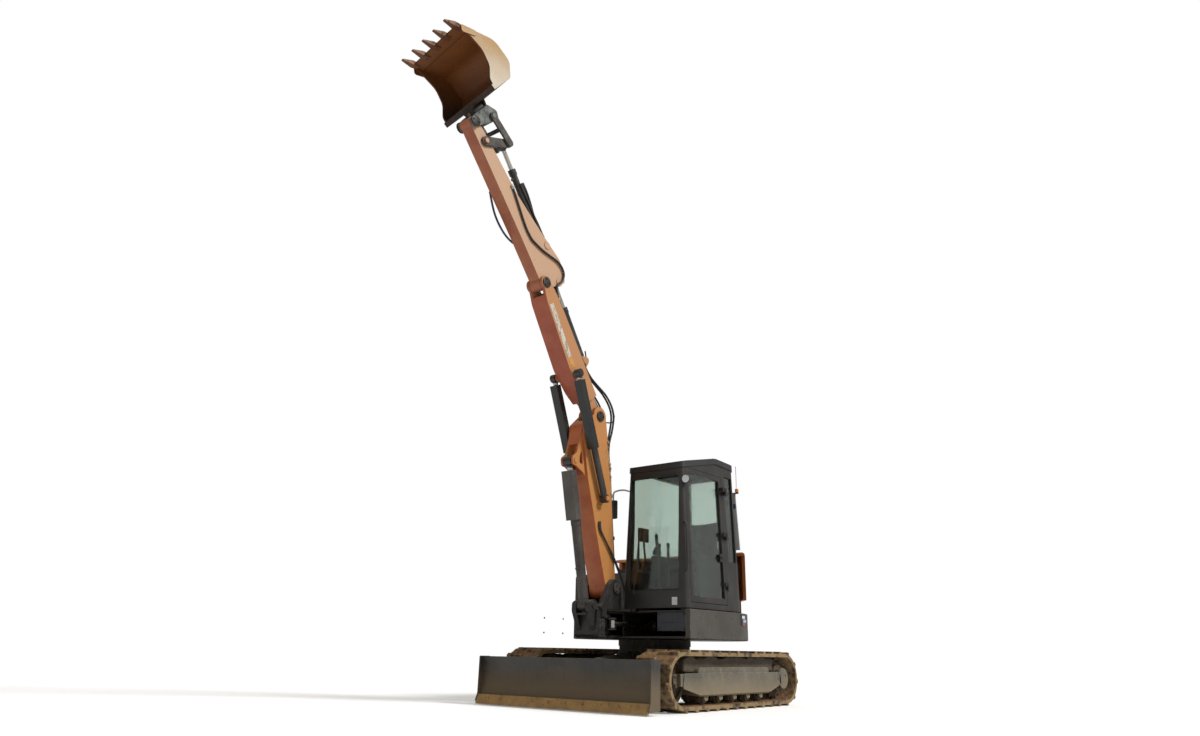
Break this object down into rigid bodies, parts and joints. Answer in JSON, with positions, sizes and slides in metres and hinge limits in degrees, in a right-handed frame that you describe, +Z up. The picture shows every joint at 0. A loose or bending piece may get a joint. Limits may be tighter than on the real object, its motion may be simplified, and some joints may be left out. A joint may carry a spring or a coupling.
{
  "type": "crawler excavator",
  "caption": "Rubber-tracked excavator with a cab, dozer blade, swing boom in two pieces, arm and toothed bucket, reaching straight up.",
  "frame": {"origin": "on the ground under the slew axis, level with the underside of the tracks", "axes": "+Z up; front of the machine (blade side) towards -Y; machine's left, where the cab stands, towards +X"},
  "size_m": [2.334, 5.5939, 6.8762],
  "materials": {
    "boom_orange": "satin orange, sun-faded",
    "bucket_steel": "worn, tan paint and soil",
    "cab_glass": "tinted",
    "cab_paint": "satin dark grey-brown",
    "coupler_steel": "dark grey",
    "dark_steel": "satin dark grey",
    "engine_iron": "rough",
    "frame_steel": "worn grey paint under dust",
    "hood_orange": "satin orange",
    "plastic_black": "matt",
    "ram_paint": "gloss black-green",
    "ram_rod": "polished",
    "seat_fabric": "woven",
    "skirt_grey": "satin grey",
    "track_rubber": "muddy rubber",
    "wear_steel": "worn bright",
    "weight_iron": "painted orange-tan",
    "wheel_iron": "worn"
  },
  "bodies": {
    "undercarriage": {"car_body": "frame_steel", "slew_ring": "wheel_iron", "track_frame_left": "frame_steel", "track_frame_right": "frame_steel", "track_left": "track_rubber", "track_right": "track_rubber", "track_rollers": "wheel_iron", "idlers": "wheel_iron", "sprockets": "wheel_iron"},
    "blade": {"dozer_blade": "dark_steel", "blade_cutting_edge": "wear_steel"},
    "blade_ram_barrel": {"blade_ram_barrel": "ram_paint"},
    "blade_ram_rod": {"blade_ram_rod": "ram_rod"},
    "upper": {"deck_frame": "dark_steel", "deck_webs": "dark_steel", "deck_floor": "dark_steel", "side_skirts": "skirt_grey", "counterweight": "weight_iron", "engine_block": "engine_iron", "tank_cover": "hood_orange", "tail_wall": "dark_steel", "cab_frame": "cab_paint", "windscreen": "cab_glass", "cab_windows": "cab_glass", "cab_roof": "cab_paint", "seat_base": "plastic_black", "seat_cushion": "seat_fabric", "seat_back": "seat_fabric", "controls": "plastic_black"},
    "cab_door": {"cab_door": "cab_paint", "cab_door_glass": "cab_glass"},
    "rear_hood": {"rear_hood": "hood_orange"},
    "right_side_cover": {"right_side_cover": "hood_orange"},
    "swing_ram_barrel": {"swing_ram_barrel": "ram_paint"},
    "swing_ram_rod": {"swing_ram_rod": "ram_rod"},
    "swing_post": {"swing_post": "dark_steel"},
    "lift_ram_barrel": {"lift_ram_barrel": "ram_paint"},
    "lift_ram_rod": {"lift_ram_rod": "ram_rod", "lift_ram_guard": "ram_paint"},
    "base_boom": {"base_boom": "boom_orange"},
    "fold_ram_barrels": {"fold_ram_barrels": "ram_paint"},
    "fold_ram_rods": {"fold_ram_rods": "ram_rod", "fold_ram_guards": "ram_paint"},
    "upper_boom": {"upper_boom": "boom_orange"},
    "arm_ram_barrel": {"arm_ram_barrel": "ram_paint"},
    "arm_ram_rod": {"arm_ram_rod": "ram_rod"},
    "arm": {"arm": "boom_orange"},
    "bucket_rocker": {"bucket_rocker": "boom_orange"},
    "bucket_ram_barrel": {"bucket_ram_barrel": "ram_paint"},
    "bucket_ram_rod": {"bucket_ram_rod": "ram_rod"},
    "quick_coupler": {"quick_coupler": "coupler_steel"},
    "bucket": {"bucket": "bucket_steel", "bucket_teeth": "wear_steel"},
    "bucket_link": {"bucket_link": "boom_orange"}
  },
  "joints": [
    {"name": "slew", "type": "hinge", "parent": "undercarriage", "child": "upper", "pos_m": [0, 0, 0.717], "axis": [0, 0, 1], "continuous": true},
    {"name": "blade_lift", "type": "hinge", "parent": "undercarriage", "child": "blade", "pos_m": [0, -0.56, 0.3], "axis": [-1, 0, 0], "range_deg": [-20, 18]},
    {"name": "blade_ram_barrel_pivot", "type": "hinge", "parent": "undercarriage", "child": "blade_ram_barrel", "pos_m": [0, -0.5, 0.52], "axis": [1, 0, 0], "range_deg": [-16.6, 18.4]},
    {"name": "blade_ram_rod_slide", "type": "slide", "parent": "blade_ram_barrel", "child": "blade_ram_rod", "axis": [0, -0.9927, -0.1205], "range_m": [-0.0671, 0.0744]},
    {"name": "cab_door_hinge", "type": "hinge", "parent": "upper", "child": "cab_door", "pos_m": [1.006, 0.04, 1.84], "axis": [0, 0, 1], "range_deg": [0, 150]},
    {"name": "rear_hood_hinge", "type": "hinge", "parent": "upper", "child": "rear_hood", "pos_m": [0, 0.494, 1.685], "axis": [1, 0, 0], "range_deg": [0, 60]},
    {"name": "right_side_cover_hinge", "type": "hinge", "parent": "upper", "child": "right_side_cover", "pos_m": [-0.241, 0.28, 1.438], "axis": [0, 1, 0], "range_deg": [0, 75]},
    {"name": "boom_swing", "type": "hinge", "parent": "upper", "child": "swing_post", "pos_m": [0, -1.04, 0.86], "axis": [0, 0, -1], "range_deg": [-60, 60]},
    {"name": "swing_ram_barrel_pivot", "type": "hinge", "parent": "upper", "child": "swing_ram_barrel", "pos_m": [0.27, 0.04, 0.862], "axis": [0, 0, 1], "range_deg": [-0.6, 0.6]},
    {"name": "swing_ram_rod_slide", "type": "slide", "parent": "swing_ram_barrel", "child": "swing_ram_rod", "axis": [-0.1013, -0.9949, 0], "range_m": [-0.1505, 0.1505]},
    {"name": "boom_lift", "type": "hinge", "parent": "swing_post", "child": "base_boom", "pos_m": [0, -1.01, 1.245], "axis": [-1, 0, 0], "range_deg": [-72, 3]},
    {"name": "lift_ram_barrel_pivot", "type": "hinge", "parent": "swing_post", "child": "lift_ram_barrel", "pos_m": [0, -1.34, 1.05], "axis": [1, 0, 0], "range_deg": [-3.3, 74.9]},
    {"name": "lift_ram_rod_slide", "type": "slide", "parent": "lift_ram_barrel", "child": "lift_ram_rod", "axis": [0, -0.2007, 0.9797], "range_m": [-0.4551, 0.0209]},
    {"name": "boom_joint", "type": "hinge", "parent": "base_boom", "child": "upper_boom", "pos_m": [0, -1.26816, 3.17985], "axis": [-1, 0, 0], "range_deg": [-50, 4]},
    {"name": "fold_ram_barrels_pivot", "type": "hinge", "parent": "base_boom", "child": "fold_ram_barrels", "pos_m": [0, -1.24006, 2.21308], "axis": [1, 0, 0], "range_deg": [-1.5, 17.3]},
    {"name": "fold_ram_rods_slide", "type": "slide", "parent": "fold_ram_barrels", "child": "fold_ram_rods", "axis": [0, -0.3536, 0.9354], "range_m": [-0.3665, 0.0312]},
    {"name": "arm_joint", "type": "hinge", "parent": "upper_boom", "child": "arm", "pos_m": [0, -2.2851, 4.51962], "axis": [1, 0, 0], "range_deg": [0, 84]},
    {"name": "arm_ram_barrel_pivot", "type": "hinge", "parent": "upper_boom", "child": "arm_ram_barrel", "pos_m": [0, -1.47987, 3.82264], "axis": [1, 0, 0], "range_deg": [-0.1, 5.9]},
    {"name": "arm_ram_rod_slide", "type": "slide", "parent": "arm_ram_barrel", "child": "arm_ram_rod", "axis": [0, -0.5635, 0.8261], "range_m": [-0.002, 0.3725]},
    {"name": "bucket_joint", "type": "hinge", "parent": "arm", "child": "quick_coupler", "pos_m": [0, -3.50578, 5.97953], "axis": [1, 0, 0], "range_deg": [-35, 90]},
    {"name": "bucket_tilt", "type": "hinge", "parent": "quick_coupler", "child": "bucket", "pos_m": [0, -3.43676, 6.17987], "axis": [0, 0.6198, 0.7848], "range_deg": [-11, 28]},
    {"name": "bucket_rocker_pivot", "type": "hinge", "parent": "arm", "child": "bucket_rocker", "pos_m": [0, -3.32563, 5.82644], "axis": [1, 0, 0], "range_deg": [-31, 78]},
    {"name": "bucket_link_pivot", "type": "hinge", "parent": "quick_coupler", "child": "bucket_link", "pos_m": [0, -3.2602, 6.16786], "axis": [1, 0, 0], "range_deg": [-64, 26]},
    {"name": "bucket_ram_barrel_pivot", "type": "hinge", "parent": "arm", "child": "bucket_ram_barrel", "pos_m": [0, -2.25261, 5.00301], "axis": [1, 0, 0], "range_deg": [-1.7, 4.1]},
    {"name": "bucket_ram_rod_slide", "type": "slide", "parent": "bucket_ram_barrel", "child": "bucket_ram_rod", "axis": [0, -0.604, 0.7969], "range_m": [-0.1788, 0.4565]}
  ],
  "couplings": [
    {"joint": "blade_ram_barrel_pivot", "follows": "blade_lift", "ratio": -0.9123},
    {"joint": "blade_ram_rod_slide", "follows": "blade_lift", "m_per_rad": -0.20731},
    {"joint": "swing_ram_barrel_pivot", "follows": "boom_swing", "ratio": 0.0072},
    {"joint": "swing_ram_rod_slide", "follows": "boom_swing", "m_per_rad": 0.1418},
    {"joint": "lift_ram_barrel_pivot", "follows": "boom_lift", "ratio": -1.0384},
    {"joint": "lift_ram_rod_slide", "follows": "boom_lift", "m_per_rad": 0.36055},
    {"joint": "fold_ram_barrels_pivot", "follows": "boom_joint", "ratio": -0.3428},
    {"joint": "fold_ram_rods_slide", "follows": "boom_joint", "m_per_rad": 0.41773},
    {"joint": "arm_ram_barrel_pivot", "follows": "arm_joint", "ratio": 0.0679},
    {"joint": "arm_ram_rod_slide", "follows": "arm_joint", "m_per_rad": 0.2527},
    {"joint": "bucket_rocker_pivot", "follows": "bucket_joint", "ratio": 0.8472},
    {"joint": "bucket_link_pivot", "follows": "bucket_joint", "ratio": -0.6922},
    {"joint": "bucket_ram_barrel_pivot", "follows": "bucket_joint", "ratio": 0.0437},
    {"joint": "bucket_ram_rod_slide", "follows": "bucket_joint", "m_per_rad": 0.28937}
  ]
}
